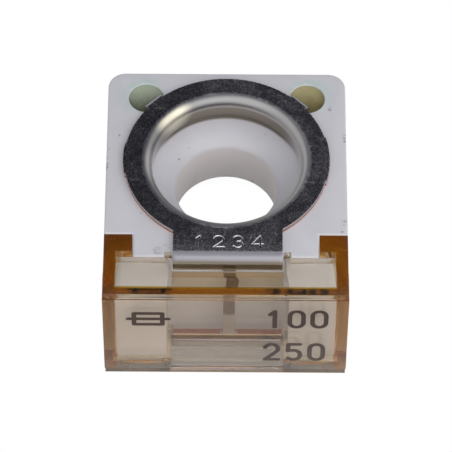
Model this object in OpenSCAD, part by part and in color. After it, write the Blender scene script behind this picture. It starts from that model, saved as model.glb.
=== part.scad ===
// Battery terminal fuse: a ceramic block that drops over a threaded stud, a folded contact strip
// whose rings bear on its two faces, and a clear clip-on cover over the fusible link.
// The stud axis is Z, the middle of the bore is the origin, and the window looks along -Y.

/* [Ceramic body] */
// Width of the ceramic block, side to side
body_w = 19.3; // [17:0.1:22.5]
// Height of the ceramic block between the faces that carry the contact rings
body_h = 11.0; // [9.5:0.1:13]
// Distance that the block's sides stand outside the contact rings
side_margin = 1.45; // [1.3:0.05:1.7]
// Distance that the rear face stands behind the rings
rear_margin = 0.9; // [0.7:0.05:1.5]
// Distance that the deck's front edge stands in front of the rings
deck_margin = 1.1; // [0.9:0.05:1.3]
// Radius of the rear vertical corners
rear_corner_r = 1.4; // [0.6:0.1:1.8]
// Small bevel round the top and bottom edges of the block
edge_bevel = 0.15; // [0.05:0.05:0.3]

/* [Stud hole] */
// Diameter of the bore that passes the stud
bore_d = 8.2; // [7.8:0.1:9.0]
// Length of the straight wall of the bore
bore_len = 4.05; // [3.5:0.05:4.6]
// Clearance between the end of the collar and the conical mouth below it
collar_gap = 0.3; // [0.1:0.05:0.5]
// Gap between the collar's bend and the seat bored for it
seat_gap = 0.13; // [0.1:0.01:0.3]

/* [Contact strip] */
// Thickness of the tin-plated copper sheet
sheet_t = 0.45; // [0.35:0.05:0.5]
// Width of the flat face of each contact ring
ring_face = 1.43; // [1.1:0.01:1.8]
// Outside radius of the bend from the ring into its collar
collar_bend_r = 0.8; // [0.6:0.05:0.9]
// Height of the collar below the ring's contact face
collar_h = 1.93; // [1.4:0.01:2.1]
// Width of the tab that leads from each ring to the window
tab_w = 8.66; // [7.5:0.02:9.0]
// Sideways offset of the tabs from the stud axis
tab_x = 0.15; // [0:0.05:0.2]
// Clearance between the deck's front edge and the bent-down tab
tab_gap = 0.35; // [0.2:0.05:0.6]
// Straight length below the bend of the upper tab
upper_drop = 0.3; // [0.1:0.05:0.5]
// Straight length below the bend of the lower tab
lower_drop = 1.9; // [1.0:0.05:3.5]
// Width of the fusible link
link_w = 0.92; // [0.5:0.02:1.5]
// Thickness of the fusible link
link_t = 0.3; // [0.2:0.05:0.45]
// Sideways offset of the fusible link from the stud axis
link_x = 0.28; // [0:0.02:0.5]
// Radius in the corners where the link meets the tabs
link_fillet_r = 0.25; // [0.1:0.05:0.4]
// Width of the sheared carrier stub on the left of each ring
left_stub_w = 3.1; // [1.5:0.1:5.0]
// Width of the sheared carrier stub on the right of each ring
right_stub_w = 4.5; // [1.5:0.1:5.0]
// Distance that the carrier stubs stand out of the ring
stub_proud = 0.1; // [0.05:0.01:0.3]

/* [Anchor ears] */
// Width of the ears bent down into the rear pockets
ear_w = 1.7; // [1.2:0.1:2.0]
// Outside radius of each ear's bend
ear_bend_r = 0.5; // [0.48:0.01:0.7]
// Clearance between the edge of a pocket and the start of its ear's bend
ear_gap = 0.03; // [0.02:0.01:0.1]
// Depth of each ear's leg below the face of the block
ear_depth = 1.1; // [0.8:0.1:1.3]
// Diameter of the pockets that take the ears
pocket_d = 2.8; // [2.6:0.05:3.0]
// Depth of the pockets
pocket_depth = 1.7; // [1.5:0.1:2.0]
// Distance from the ring's edge out to the middle of each pocket
pocket_out = 1.05; // [0.9:0.01:1.2]
// Depth of the dish in the cement that fills each pocket
cement_dish = 0.5; // [0.2:0.05:0.7]

/* [Window cover] */
// Free room between the tabs and the cover's front wall
link_room = 1.54; // [1.2:0.02:2.0]
// Thickness of the cover's front wall
front_wall = 1.36; // [1.0:0.02:1.6]
// Thickness of the cover's side walls
side_wall = 0.95; // [0.8:0.01:1.2]
// Thickness of the cover's top and bottom plates
plate_t = 1.5; // [1.2:0.05:1.7]
// Free distance between the rear edges of the plates and the hooks
hook_gap = 0.6; // [0.4:0.05:0.8]
// Distance that each hook reaches in from its side wall
hook_in = 1.3; // [1.0:0.05:1.5]
// Thickness of each hook, front to back
hook_t = 1.6; // [1.2:0.05:1.8]
// Clearance between the deck's front edge and the plates
plate_gap = 0.05; // [0.03:0.01:0.2]
// Clearance between the tab's edges and the notches in the plates
notch_gap = 0.1; // [0.05:0.01:0.2]
// Clearance between the tab's outer face and the front edge of its notch
notch_front_gap = 0.59; // [0.2:0.01:0.7]
// Width of the guide lugs beside the notch
lug_w = 0.5; // [0.3:0.05:0.8]
// Distance that the guide lugs stand behind the plates
lug_len = 0.5; // [0.3:0.05:0.8]
// Distance that the front panel stands proud of the front wall round it
panel_proud = 0.1; // [0.05:0.01:0.2]
// Distance that the panel's wrapped ends stand proud of the side walls
panel_side = 0.05; // [0.03:0.01:0.15]
// Height of the plain band above and below the front panel
panel_band = 0.7; // [0.4:0.05:1.0]
// Length of the front panel along each side wall
panel_wrap = 2.6; // [2.0:0.1:3.5]
// Radius in the corners between the hooks and the side walls
hook_fillet_r = 0.3; // [0.1:0.05:0.4]

/* [Chamber] */
// Clearance between the tab's edges and the two pillars
chamber_gap = 0.45; // [0.3:0.01:0.6]
// Depth of the chamber behind the deck's front edge
chamber_depth = 1.1; // [0.8:0.1:1.3]
// Radius of the pillars' corners
pillar_r = 0.5; // [0.2:0.1:0.8]
// Clearance between the cover and the ceramic that it closes on
cover_gap = 0.08; // [0.04:0.02:0.15]
// Clearance round the cement in its pockets
cement_gap = 0.02; // [0.01:0.01:0.05]

/* [Hidden] */

// Fineness of the curves
$fn = 96;

// Overlap that lets cutters and joined pieces pass cleanly through a face
eps = 0.01;

half_h = body_h / 2;
half_w = body_w / 2;
bore_r = bore_d / 2;
bore_half = bore_len / 2;

// The rings fill the block's width but for a margin, and the block's ends follow the rings
ring_r = half_w - side_margin;
collar_r = ring_r - ring_face - collar_bend_r;
rear_len = ring_r + rear_margin;
deck_len = ring_r + deck_margin;

// The seat clears the collar's bend, and the cone passes just under the collar down to the bore
seat_r = collar_r + collar_bend_r + seat_gap;
collar_foot = half_h + sheet_t - collar_h;
cone_rise = (collar_foot - collar_gap - bore_half) / (collar_r + sheet_t - bore_r);
seat_foot = bore_half + (seat_r - bore_r) * cone_rise;

// The tabs stand in front of the deck, and the cover's front wall in front of the tabs
tab_reach = deck_len + tab_gap + sheet_t;
cover_reach = tab_reach + link_room + front_wall;
notch_w = tab_w + 2 * notch_gap;
chamber_w = tab_w + 2 * chamber_gap;
chamber_back = deck_len - chamber_depth;

// The cover's outline behind the proud panel is as wide as the ceramic block
cover_front = cover_reach - panel_proud;
wall_in = half_w - side_wall;
plate_back = deck_len + plate_gap;
plate_in = half_h - plate_t;
hook_front = plate_back - hook_gap;
hook_tip = wall_in - hook_in;
cover_back = hook_front - hook_t;
notch_front = tab_reach + notch_front_gap;

// The ceramic stands clear of the cover by one gap all round
groove_in = hook_tip - cover_gap;
groove_back = cover_back - cover_gap;
pillar_in = chamber_w / 2 - tab_x - eps;
pillar_out = wall_in - cover_gap;
pillar_front = cover_reach - front_wall - cover_gap;
pillar_back = hook_front + cover_gap;
pillar_half_h = plate_in - cover_gap;
lug_out = notch_w / 2 + lug_w;
lug_back = plate_back - lug_len;

// The tab leaves its ring flat, turns down from the deck's front edge and drops into the chamber
tab_bend_r = tab_gap + sheet_t;
upper_foot = half_h + sheet_t - tab_bend_r - upper_drop;
lower_foot = half_h + sheet_t - tab_bend_r - lower_drop;

// The ears leave the ring half way between its side and its rear
ear_angle = 45;
pocket_reach = ring_r + pocket_out;
ear_bend_at = pocket_reach - sqrt(pow(pocket_d / 2, 2) - pow(ear_w / 2, 2)) + ear_gap;

// A bar of square section between two corners, for blocks whose faces are all known places
module block(low, high) {
  translate(low)
    cube(high - low);
}

// Copies the children to the other side of the middle plane
module both_sides() {
  children();
  mirror([1, 0, 0])
    children();
}

// Copies the children to the opposite face of the block
module both_faces() {
  children();
  mirror([0, 0, 1])
    children();
}

// A quarter bend of sheet in the first quadrant of its plane, from the +Y axis round to +X
module quarter_bend(outer_r) {
  intersection() {
    difference() {
      circle(r = outer_r);
      circle(r = outer_r - sheet_t);
    }
    square(outer_r + eps);
  }
}

// Plan of the block behind the hooks, with its rear corners rounded and its edges set in
module rear_plan(inset) {
  w = half_w - inset;
  r = rear_corner_r - inset;
  y_rear = rear_len - inset;
  y_front = -groove_back;
  translate([-w, y_front])
    square([2 * w, y_rear - rear_corner_r + inset - y_front]);
  translate([-w + r, y_front])
    square([2 * (w - r), y_rear - y_front]);
  for (side = [-1, 1])
    translate([side * (w - r), y_rear - r])
      circle(r = r);
}

// The full-height block with a bevelled step at the edges of its two faces
module rear_block() {
  translate([0, 0, -half_h + edge_bevel])
    linear_extrude(body_h - 2 * edge_bevel)
      rear_plan(0);
  for (layer = [1 : 3])
    translate([0, 0, -half_h + edge_bevel * (1 - layer / 3)])
      linear_extrude(body_h - 2 * edge_bevel * (1 - layer / 3))
        rear_plan(edge_bevel * (1 - sqrt(1 - pow(layer / 3, 2))));
}

// The part of the block between the hook grooves, under the tabs
module deck() {
  block([-groove_in, -deck_len, -half_h], [groove_in, -groove_back + eps, half_h]);
}

// One of the two pillars that frame the chamber and carry the cover's plates
module pillar() {
  w = pillar_out - pillar_in;
  difference() {
    translate([pillar_in, -pillar_back, 0])
      rotate([90, 0, 0])
        linear_extrude(pillar_front - pillar_back)
          union() {
            translate([0, -pillar_half_h])
              square([w - pillar_r, 2 * pillar_half_h]);
            translate([0, -pillar_half_h + pillar_r])
              square([w, 2 * (pillar_half_h - pillar_r)]);
            for (face = [-1, 1])
              translate([w - pillar_r, face * (pillar_half_h - pillar_r)])
                circle(r = pillar_r);
          }
    translate([wall_in - hook_fillet_r, -hook_front - hook_fillet_r, -half_h])
      linear_extrude(body_h)
        difference() {
          square(hook_fillet_r + eps);
          circle(r = hook_fillet_r - cover_gap);
        }
  }
}

// Section of the stud hole: a straight bore, a cone and a seat for the collar at each end
module stud_hole_section() {
  top = half_h + eps;
  polygon([
    [0, -top], [seat_r, -top], [seat_r, -seat_foot], [bore_r, -bore_half],
    [bore_r, bore_half], [seat_r, seat_foot], [seat_r, top], [0, top]
  ]);
}

// The round pocket for one ear, in the direction of that ear
module pocket(radius, depth) {
  rotate(ear_angle)
    translate([pocket_reach, 0, half_h - depth])
      cylinder(r = radius, h = depth + eps);
}

module ceramic_body() {
  color([0.86, 0.86, 0.89])
    difference() {
      union() {
        rear_block();
        deck();
        both_sides()
          pillar();
      }
      rotate_extrude()
        stud_hole_section();
      both_faces()
        both_sides()
          pocket(pocket_d / 2, pocket_depth);
      translate([tab_x, 0, 0])
        block([-chamber_w / 2, -cover_reach, -plate_in], [chamber_w / 2, -chamber_back, plate_in]);
      both_faces()
        translate([tab_x, 0, 0])
          both_sides()
            block(
              [notch_w / 2 - cover_gap, -plate_back, plate_in - cover_gap],
              [lug_out + cover_gap, -lug_back + cover_gap, half_h + eps]
            );
    }
}

// Half section of a ring: the flat contact face, the bend and the collar drawn from its bore
module ring_section() {
  bend_at = collar_r + collar_bend_r;
  bend_z = half_h + sheet_t - collar_bend_r;
  translate([bend_at - eps, half_h])
    square([ring_r - bend_at + eps, sheet_t]);
  translate([bend_at, bend_z])
    mirror([1, 0])
      quarter_bend(collar_bend_r);
  translate([collar_r, collar_foot])
    square([sheet_t, bend_z - collar_foot + eps]);
}

// The flat tab beside the ring, trimmed to the ring's hole, then its bend and its drop
module tab(drop) {
  difference() {
    block([tab_x - tab_w / 2, -deck_len - eps, half_h], [tab_x + tab_w / 2, 0, half_h + sheet_t]);
    translate([0, 0, half_h - eps])
      cylinder(r = ring_r - sheet_t, h = sheet_t + 2 * eps);
  }
  translate([tab_x - tab_w / 2, 0, 0])
    rotate([90, 0, 90])
      linear_extrude(tab_w)
        union() {
          translate([-deck_len, half_h + sheet_t - tab_bend_r])
            mirror([1, 0])
              quarter_bend(tab_bend_r);
          translate([-tab_reach, half_h + sheet_t - tab_bend_r - drop])
            square([sheet_t, drop + eps]);
        }
}

// One ear: a short tongue of the ring turned down into its pocket
module ear() {
  rotate(ear_angle)
    translate([0, ear_w / 2, 0])
      rotate([90, 0, 0])
        linear_extrude(ear_w)
          union() {
            translate([ring_r - sheet_t, half_h])
              square([ear_bend_at - ring_r + sheet_t + eps, sheet_t]);
            translate([ear_bend_at, half_h + sheet_t - ear_bend_r])
              quarter_bend(ear_bend_r);
            translate([ear_bend_at + ear_bend_r - sheet_t, half_h - ear_depth])
              square([sheet_t, ear_depth + sheet_t - ear_bend_r + eps]);
          }
}

// A stub on the right of the ring, where it was sheared from its carrier on an arc
module stub(width) {
  intersection() {
    translate([0, 0, half_h])
      cylinder(r = ring_r + stub_proud, h = sheet_t);
    block([ring_r - ring_face, -width / 2, half_h - eps], [half_w, width / 2, half_h + sheet_t + eps]);
  }
}

// One contact: ring and collar, tab, ears and stubs
module contact(drop) {
  rotate_extrude()
    ring_section();
  tab(drop);
  both_sides()
    ear();
  stub(right_stub_w);
  mirror([1, 0, 0])
    stub(left_stub_w);
}

// The narrow link in the plane of the tabs, with small fillets where it meets them
module fusible_link() {
  translate([link_x, -tab_reach + link_t, 0])
    rotate([90, 0, 0])
      linear_extrude(link_t)
        union() {
          translate([-link_w / 2, -lower_foot - eps])
            square([link_w, upper_foot + lower_foot + 2 * eps]);
          for (side = [-1, 1]) {
            link_corner(side, upper_foot, 1);
            link_corner(side, -lower_foot, -1);
          }
        }
}

// The fillet between one edge of the link and the end of a tab
module link_corner(side, level, up) {
  x_edge = side * link_w / 2;
  difference() {
    translate([side > 0 ? x_edge - eps : x_edge - link_fillet_r, up > 0 ? level - link_fillet_r : level - eps])
      square(link_fillet_r + eps);
    translate([x_edge + side * link_fillet_r, level - up * link_fillet_r])
      circle(r = link_fillet_r);
  }
}

module fuse_strip() {
  color([0.62, 0.61, 0.60])
    union() {
      contact(upper_drop);
      mirror([0, 0, 1])
        contact(lower_drop);
      fusible_link();
    }
}

// Plan of one side wall with its hook and the fillet between them
module side_plan() {
  translate([wall_in, -cover_front])
    square([side_wall, cover_front - cover_back]);
  translate([hook_tip, -hook_front])
    square([hook_in + eps, hook_t]);
  difference() {
    translate([wall_in - hook_fillet_r, -hook_front - hook_fillet_r])
      square(hook_fillet_r + eps);
    translate([wall_in - hook_fillet_r, -hook_front - hook_fillet_r])
      circle(r = hook_fillet_r);
  }
}

// Plan of the top and bottom plates: notched for the tab, with a guide lug each side of it
module plate_plan() {
  difference() {
    translate([-wall_in - eps, -cover_front])
      square([2 * (wall_in + eps), cover_front - plate_back]);
    translate([tab_x - notch_w / 2, -notch_front])
      square([notch_w, notch_front]);
  }
  translate([tab_x, 0])
    both_sides()
      translate([notch_w / 2, -plate_back - eps])
        square([lug_w, lug_len + eps]);
}

// The proud panel that stands on the front wall and wraps a little way round its sides
module front_panel() {
  out = half_w + panel_side;
  top = half_h - panel_band;
  difference() {
    block([-out, -cover_reach, -top], [out, -cover_reach + panel_wrap, top]);
    block(
      [-half_w + eps, -cover_front + eps, -half_h],
      [half_w - eps, -cover_reach + panel_wrap + eps, half_h]
    );
  }
}

module window_cover() {
  color([0.80, 0.52, 0.16, 0.6])
    union() {
      block([-half_w, -cover_front, -half_h], [half_w, -cover_reach + front_wall, half_h]);
      translate([0, 0, -half_h])
        linear_extrude(body_h)
          both_sides()
            side_plan();
      both_faces()
        translate([0, 0, plate_in])
          linear_extrude(plate_t)
            plate_plan();
      front_panel();
    }
}

// Cement round one ear, dished at the top, a hair smaller than its pocket
module cement() {
  dish_r = (pow(pocket_d / 2, 2) + pow(cement_dish, 2)) / (2 * cement_dish);
  difference() {
    rotate(ear_angle)
      translate([pocket_reach, 0, half_h - pocket_depth])
        difference() {
          cylinder(d = pocket_d - 2 * cement_gap, h = pocket_depth - cement_gap);
          translate([0, 0, pocket_depth - cement_dish + dish_r - cement_gap])
            sphere(r = dish_r);
        }
    ear();
  }
}

module upper_right_cement() {
  color([0.62, 0.62, 0.40])
    cement();
}

module upper_left_cement() {
  color([0.60, 0.64, 0.46])
    mirror([1, 0, 0])
      cement();
}

module lower_right_cement() {
  color([0.62, 0.62, 0.40])
    mirror([0, 0, 1])
      cement();
}

module lower_left_cement() {
  color([0.60, 0.64, 0.46])
    mirror([0, 0, 1])
      mirror([1, 0, 0])
        cement();
}

ceramic_body();
fuse_strip();
window_cover();
upper_left_cement();
upper_right_cement();
lower_left_cement();
lower_right_cement();
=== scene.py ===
"""Battery terminal fuse: the looks of its ceramic body, folded contact strip, clear cover and cement.

The stud axis is Z, the window looks along -Y, and each piece is modelled in millimetres in the frame of
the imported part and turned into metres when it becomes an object.
"""

import logging
import math
from dataclasses import dataclass, field
from enum import Enum
from typing import Callable, Iterable, Sequence

import bmesh
import bpy
from mathutils import Matrix, Vector

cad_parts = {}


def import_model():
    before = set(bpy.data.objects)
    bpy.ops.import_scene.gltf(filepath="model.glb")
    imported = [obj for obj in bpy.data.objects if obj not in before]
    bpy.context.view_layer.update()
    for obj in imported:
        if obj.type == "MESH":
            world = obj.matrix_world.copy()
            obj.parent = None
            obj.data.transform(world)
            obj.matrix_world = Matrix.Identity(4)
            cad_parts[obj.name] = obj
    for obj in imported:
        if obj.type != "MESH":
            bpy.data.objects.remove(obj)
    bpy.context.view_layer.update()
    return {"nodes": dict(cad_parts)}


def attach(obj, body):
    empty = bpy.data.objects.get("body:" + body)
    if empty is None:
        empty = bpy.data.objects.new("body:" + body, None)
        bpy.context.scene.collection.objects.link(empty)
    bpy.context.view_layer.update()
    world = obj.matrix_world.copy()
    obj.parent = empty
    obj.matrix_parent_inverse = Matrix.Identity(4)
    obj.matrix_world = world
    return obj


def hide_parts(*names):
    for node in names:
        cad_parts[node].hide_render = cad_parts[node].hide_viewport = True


LOG = logging.getLogger("terminal_fuse")
MM = 0.001
BODY = "root"

Point = tuple[float, float]
Number = float | int


class Face(Enum):
    """The two faces of the block that carry a contact ring."""

    UPPER = 1
    LOWER = -1


class Side(Enum):
    """The two sides of the middle plane."""

    LEFT = -1
    RIGHT = 1


class Value:
    """A socket of a shader graph that takes part in arithmetic."""

    def __init__(self, graph: "Graph", socket: bpy.types.NodeSocket) -> None:
        """Keeps the graph and the socket together."""
        self.graph = graph
        self.socket = socket

    def _math(self, operation: str, *operands: "Value | Number") -> "Value":
        """Adds one Math node on the operands and returns its result."""
        return self.graph.node(
            "ShaderNodeMath", {"operation": operation}, dict(enumerate(operands))
        )

    def __add__(self, other: "Value | Number") -> "Value":
        """The sum of two values."""
        return self._math("ADD", self, other)

    __radd__ = __add__

    def __sub__(self, other: "Value | Number") -> "Value":
        """This value less another."""
        return self._math("SUBTRACT", self, other)

    def __rsub__(self, other: Number) -> "Value":
        """A number less this value."""
        return self._math("SUBTRACT", other, self)

    def __mul__(self, other: "Value | Number") -> "Value":
        """The product of two values."""
        return self._math("MULTIPLY", self, other)

    __rmul__ = __mul__

    def __truediv__(self, other: "Value | Number") -> "Value":
        """This value over another."""
        return self._math("DIVIDE", self, other)

    def __pow__(self, other: "Value | Number") -> "Value":
        """This value to a power."""
        return self._math("POWER", self, other)

    def __abs__(self) -> "Value":
        """The value without its sign."""
        return self._math("ABSOLUTE", self)

    def at_most(self, other: "Value | Number") -> "Value":
        """The smaller of two values."""
        return self._math("MINIMUM", self, other)

    def at_least(self, other: "Value | Number") -> "Value":
        """The larger of two values."""
        return self._math("MAXIMUM", self, other)

    def ramp(self, low: float, high: float) -> "Value":
        """A smooth step from 0 at low to 1 at high, or down if low is above high."""
        start, end, first, last = (low, high, 0.0, 1.0) if low < high else (high, low, 1.0, 0.0)
        return self.graph.node(
            "ShaderNodeMapRange",
            {"interpolation_type": "SMOOTHSTEP"},
            {"Value": self, "From Min": start, "From Max": end, "To Min": first, "To Max": last},
        )


@dataclass
class Graph:
    """The node tree of one material or world.

    Attributes:
        tree: The tree that new nodes go into.
    """

    tree: bpy.types.NodeTree

    def node(
        self,
        kind: str,
        settings: dict | None = None,
        inputs: dict | None = None,
        output: str | int = 0,
    ) -> Value:
        """Adds a node, with its settings first and then its sockets.

        Args:
            kind: Blender's name for the node's type.
            settings: Properties of the node, or "stops" for a colour ramp's stops.
            inputs: Numbers, colours or values by the name or number of their socket.
            output: The name or number of the socket to return.

        Returns:
            The chosen output as a value.
        """
        made = self.tree.nodes.new(kind)
        for name, setting in (settings or {}).items():
            if name == "stops":
                self._set_stops(made.color_ramp, setting)
            else:
                setattr(made, name, setting)
        for name, given in (inputs or {}).items():
            if isinstance(given, Value):
                self.tree.links.new(given.socket, made.inputs[name])
            else:
                made.inputs[name].default_value = given
        return Value(self, made.outputs[output])

    @staticmethod
    def _set_stops(ramp: bpy.types.ColorRamp, stops: Sequence[tuple[float, Sequence[float]]]) -> None:
        """Gives a colour ramp its stops."""
        while len(ramp.elements) < len(stops):
            ramp.elements.new(1.0)
        for element, (place, colour) in zip(ramp.elements, stops):
            element.position = place
            element.color = (*colour, 1.0)

    def place(self) -> Value:
        """The surface point in the part's frame, in millimetres."""
        point = self.node("ShaderNodeTexCoord", output="Object")
        return self.node(
            "ShaderNodeVectorMath", {"operation": "SCALE"}, {0: point, "Scale": 1 / MM}
        )

    def axes(self, vector: Value) -> tuple[Value, Value, Value]:
        """The three parts of a vector."""
        split = self.node("ShaderNodeSeparateXYZ", None, {0: vector}).socket.node
        return tuple(Value(self, socket) for socket in split.outputs)

    def radius(self, vector: Value) -> Value:
        """The distance of a point from the stud axis."""
        plan = self.stretched(vector, (1.0, 1.0, 0.0))
        return self.node("ShaderNodeVectorMath", {"operation": "LENGTH"}, {0: plan}, "Value")

    def stretched(self, vector: Value, scale: Sequence[float]) -> Value:
        """A vector with each part multiplied."""
        return self.node(
            "ShaderNodeVectorMath", {"operation": "MULTIPLY"}, {0: vector, 1: tuple(scale)}
        )

    def noise(self, vector: Value, scale: float, detail: float = 3.0, rough: float = 0.55) -> Value:
        """Fractal noise from 0 to 1.

        Args:
            vector: The point, in millimetres.
            scale: Grains per millimetre.
            detail: Number of finer layers.
            rough: Strength of each finer layer.

        Returns:
            The noise.
        """
        return self.node(
            "ShaderNodeTexNoise",
            {"noise_dimensions": "3D"},
            {"Vector": vector, "Scale": scale, "Detail": detail, "Roughness": rough},
        )

    def mix(self, factor: Value | Number, first: object, second: object) -> Value:
        """A blend of two colours."""
        made = self.tree.nodes.new("ShaderNodeMix")
        made.data_type = "RGBA"
        for socket, given in ((made.inputs[0], factor), (made.inputs[6], first), (made.inputs[7], second)):
            if isinstance(given, Value):
                self.tree.links.new(given.socket, socket)
            elif isinstance(given, (int, float)):
                socket.default_value = given
            else:
                socket.default_value = (*given, 1.0)
        return Value(self, made.outputs[2])

    def bump(
        self, height: Value, distance: float, strength: float = 1.0, normal: Value | None = None
    ) -> Value:
        """A normal bent by a height field, with the distance in millimetres, on top of another one."""
        inputs = {"Height": height, "Distance": distance * MM, "Strength": strength}
        if normal:
            inputs["Normal"] = normal
        return self.node("ShaderNodeBump", None, inputs)

    def box_mask(self, low: Sequence[float], high: Sequence[float], soft: float) -> Value:
        """A mask that is 1 inside a box in the part's frame and falls to 0 over a soft border."""
        inside = None
        for part, start, end in zip(self.axes(self.place()), low, high):
            band = part.ramp(start - soft, start) * part.ramp(end + soft, end)
            inside = band if inside is None else inside * band
        return inside

    def spot(self, centre: Sequence[float], radius: float, soft: float) -> Value:
        """A mask that is 1 within a radius of a point and falls to 0 over a soft border."""
        gap = self.node(
            "ShaderNodeVectorMath", {"operation": "DISTANCE"}, {0: self.place(), 1: tuple(centre)}, "Value"
        )
        return gap.ramp(radius + soft, radius)


@dataclass(frozen=True)
class Finish:
    """A surface finish that knows how to make its material.

    Attributes:
        name: The material's name.
    """

    name: str

    def material(self) -> bpy.types.Material:
        """Makes the material once and returns it after that."""
        known = bpy.data.materials.get(self.name)
        if known:
            return known
        made = bpy.data.materials.new(self.name)
        made.use_nodes = True
        made.node_tree.nodes.clear()
        graph = Graph(made.node_tree)
        self.shade(graph)
        return made

    def shade(self, graph: Graph) -> None:
        """Fills the material's graph."""
        raise NotImplementedError

    @staticmethod
    def surface(graph: Graph, shader: Value) -> bpy.types.Node:
        """Links a shader to the material's output and returns that output node."""
        out = graph.tree.nodes.new("ShaderNodeOutputMaterial")
        graph.tree.links.new(shader.socket, out.inputs["Surface"])
        return out


@dataclass(frozen=True)
class CeramicFinish(Finish):
    """Matt fired ceramic with metal rubs and specks, and painted light and shade round the stud's mouth.

    Attributes:
        colour: Colour of the clean surface.
        rub: Colour of a metal rub mark.
        gap: Colour of the shade under the collar.
        bore: Painted light: a lighter colour on the bore's wall.
        lip: Painted light: a lighter colour on the rear of the mouth next to the bore.
        stain: Colour of the stain that the cement leaves round a pocket.
    """

    colour: tuple[float, float, float] = (0.60, 0.60, 0.65)
    rub: tuple[float, float, float] = (0.20, 0.19, 0.18)
    gap: tuple[float, float, float] = (0.10, 0.08, 0.055)
    bore: tuple[float, float, float] = (0.74, 0.70, 0.685)
    lip: tuple[float, float, float] = (0.67, 0.66, 0.70)
    stain: tuple[float, float, float] = (0.40, 0.56, 0.50)

    def stained(self, graph: Graph, place: Value, side: Side, base: Value) -> Value:
        """Adds the soft stain round one rear pocket.

        Args:
            graph: The graph to add to.
            place: The point, in millimetres.
            side: The side of the middle plane.
            base: The colour so far.

        Returns:
            The colour with the stain.
        """
        reach = PartSizes.pocket_reach / math.sqrt(2)
        centre = (side.value * (reach + 0.2), reach + 0.15, PartSizes.half_h)
        cloud = graph.noise(place, 1.4, 3.0, 0.6).ramp(0.3, 0.65)
        return graph.mix(graph.spot(centre, 1.45, 0.75) * (0.2 + cloud * 0.8) * 0.55, base, self.stain)

    def shade(self, graph: Graph) -> None:
        """Fills the material's graph."""
        place = graph.place()
        cloud = graph.noise(place, 0.35, 3.0)
        grain = graph.noise(place, 9.0, 4.0, 0.7)
        speck = graph.noise(place, 2.1, 2.0, 0.5).ramp(0.735, 0.775)
        base = graph.mix(cloud.ramp(0.35, 0.7) * 0.5, self.colour, (0.56, 0.56, 0.60))
        base = graph.mix(grain.ramp(0.55, 0.8) * 0.12, base, (0.45, 0.44, 0.43))
        base = graph.mix(speck * 0.55, base, self.rub)
        _, along, height = graph.axes(place)
        radius = graph.radius(place)
        mouth = height.ramp(1.9, 2.1) * along.ramp(2.0, 4.6) * radius.ramp(7.0, 6.9)
        # Painted light and shade on the cone's rear: lighter by the bore, darker towards and under the collar.
        base = graph.mix(mouth * radius.ramp(5.4, 4.3), base, self.lip)
        base = graph.mix(mouth * radius.ramp(4.9, 6.1) * 0.5, base, (0.42, 0.40, 0.42))
        base = graph.mix(mouth * radius.ramp(5.95, 6.12) * 0.9, base, self.gap)
        # Painted light: the bore's wall is lighter.
        base = graph.mix(radius.ramp(4.18, 4.08), base, self.bore)
        for side in Side:
            base = self.stained(graph, place, side, base)
        for centre, radius in RUB_MARKS:
            streak = graph.noise(graph.stretched(place, (1.5, 7.0, 3.0)), 1.0, 3.0).ramp(0.46, 0.62)
            base = graph.mix(graph.spot(centre, radius, 0.2) * streak * 0.45, base, self.rub)
        for centre, radius in DOTS:
            base = graph.mix(graph.spot(centre, radius, 0.09) * 0.7, base, self.rub)
        height = grain * 0.4 + graph.noise(place, 1.3, 3.0) * 1.6
        shader = graph.node(
            "ShaderNodeBsdfPrincipled",
            None,
            {
                "Base Color": base,
                "Roughness": 0.46 + grain * 0.2,
                "Specular IOR Level": 0.42,
                "Subsurface Weight": 0.0,
                "Normal": graph.bump(height, 0.02, 0.55),
            },
        )
        self.surface(graph, shader)


RUB_MARKS: tuple[tuple[tuple[float, float, float], float], ...] = (
    ((-9.7, 0.2, 5.45), 0.22),
    ((9.7, 2.6, 5.45), 0.25),
    ((9.4, -5.9, 5.45), 0.2),
    ((-5.35, -8.75, 5.5), 0.3),
    ((-4.65, -8.35, 5.5), 0.2),
)

DOTS: tuple[tuple[tuple[float, float, float], float], ...] = (
    ((-3.85, 2.6, 2.45), 0.05),
    ((2.18, 3.47, -1.64), 0.04),
    ((-9.58, -0.2, 5.42), 0.07),
    ((-9.58, -0.5, 5.42), 0.09),
    ((-9.6, -0.75, 5.4), 0.05),
    ((9.5, 2.5, 5.45), 0.06),
    ((9.52, 2.2, 5.43), 0.08),
    ((9.2, -6.8, 5.5), 0.05),
)


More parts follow.
